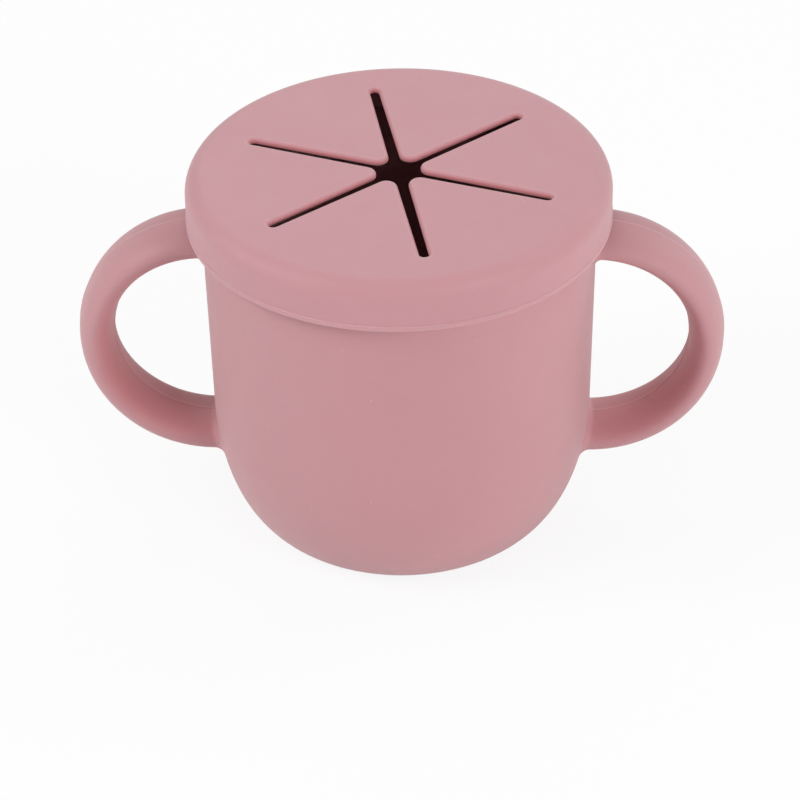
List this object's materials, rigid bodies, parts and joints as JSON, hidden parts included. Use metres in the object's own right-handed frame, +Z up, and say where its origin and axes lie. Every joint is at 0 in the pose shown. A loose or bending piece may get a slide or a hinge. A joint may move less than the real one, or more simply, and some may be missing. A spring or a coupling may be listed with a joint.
{
  "type": "toddler snack container",
  "caption": "Soft round-bottomed snack cup with a loop handle on each side and a press-on lid slit into springy flaps.",
  "frame": {"origin": "middle of the flat base that the cup stands on", "axes": "+X through the right handle, +Z up the axis of the cup; the front faces -Y"},
  "size_m": [0.1366, 0.088, 0.0828],
  "materials": {
    "cup_silicone": "matte dusty pink silicone",
    "lid_silicone": "matte dusty pink silicone"
  },
  "bodies": {
    "cup": {"cup_shell": "cup_silicone", "handle_left": "cup_silicone", "handle_right": "cup_silicone"},
    "lid": {"lid_cap": "lid_silicone"},
    "flap_1": {"flap_1": "lid_silicone"},
    "flap_2": {"flap_2": "lid_silicone"},
    "flap_3": {"flap_3": "lid_silicone"},
    "flap_4": {"flap_4": "lid_silicone"},
    "flap_5": {"flap_5": "lid_silicone"},
    "flap_6": {"flap_6": "lid_silicone"}
  },
  "joints": [
    {"name": "lid_lift", "type": "slide", "parent": "cup", "child": "lid", "axis": [0, 0, 1], "range_m": [0, 0.06]},
    {"name": "flap_1_bend", "type": "hinge", "parent": "lid", "child": "flap_1", "pos_m": [0.02731, 0.00521, 0.0821], "axis": [-0.1874, 0.9823, 0], "range_deg": [-70, 45], "stiffness_Nm_per_rad": 0.02},
    {"name": "flap_2_bend", "type": "hinge", "parent": "lid", "child": "flap_2", "pos_m": [0.00914, 0.02626, 0.0821], "axis": [-0.9444, 0.3289, 0], "range_deg": [-70, 45], "stiffness_Nm_per_rad": 0.02},
    {"name": "flap_3_bend", "type": "hinge", "parent": "lid", "child": "flap_3", "pos_m": [-0.01817, 0.02105, 0.0821], "axis": [-0.757, -0.6534, 0], "range_deg": [-70, 45], "stiffness_Nm_per_rad": 0.02},
    {"name": "flap_4_bend", "type": "hinge", "parent": "lid", "child": "flap_4", "pos_m": [-0.02731, -0.00521, 0.0821], "axis": [0.1874, -0.9823, 0], "range_deg": [-70, 45], "stiffness_Nm_per_rad": 0.02},
    {"name": "flap_5_bend", "type": "hinge", "parent": "lid", "child": "flap_5", "pos_m": [-0.00914, -0.02626, 0.0821], "axis": [0.9444, -0.3289, 0], "range_deg": [-70, 45], "stiffness_Nm_per_rad": 0.02},
    {"name": "flap_6_bend", "type": "hinge", "parent": "lid", "child": "flap_6", "pos_m": [0.01817, -0.02105, 0.0821], "axis": [0.757, 0.6534, 0], "range_deg": [-70, 45], "stiffness_Nm_per_rad": 0.02}
  ]
}
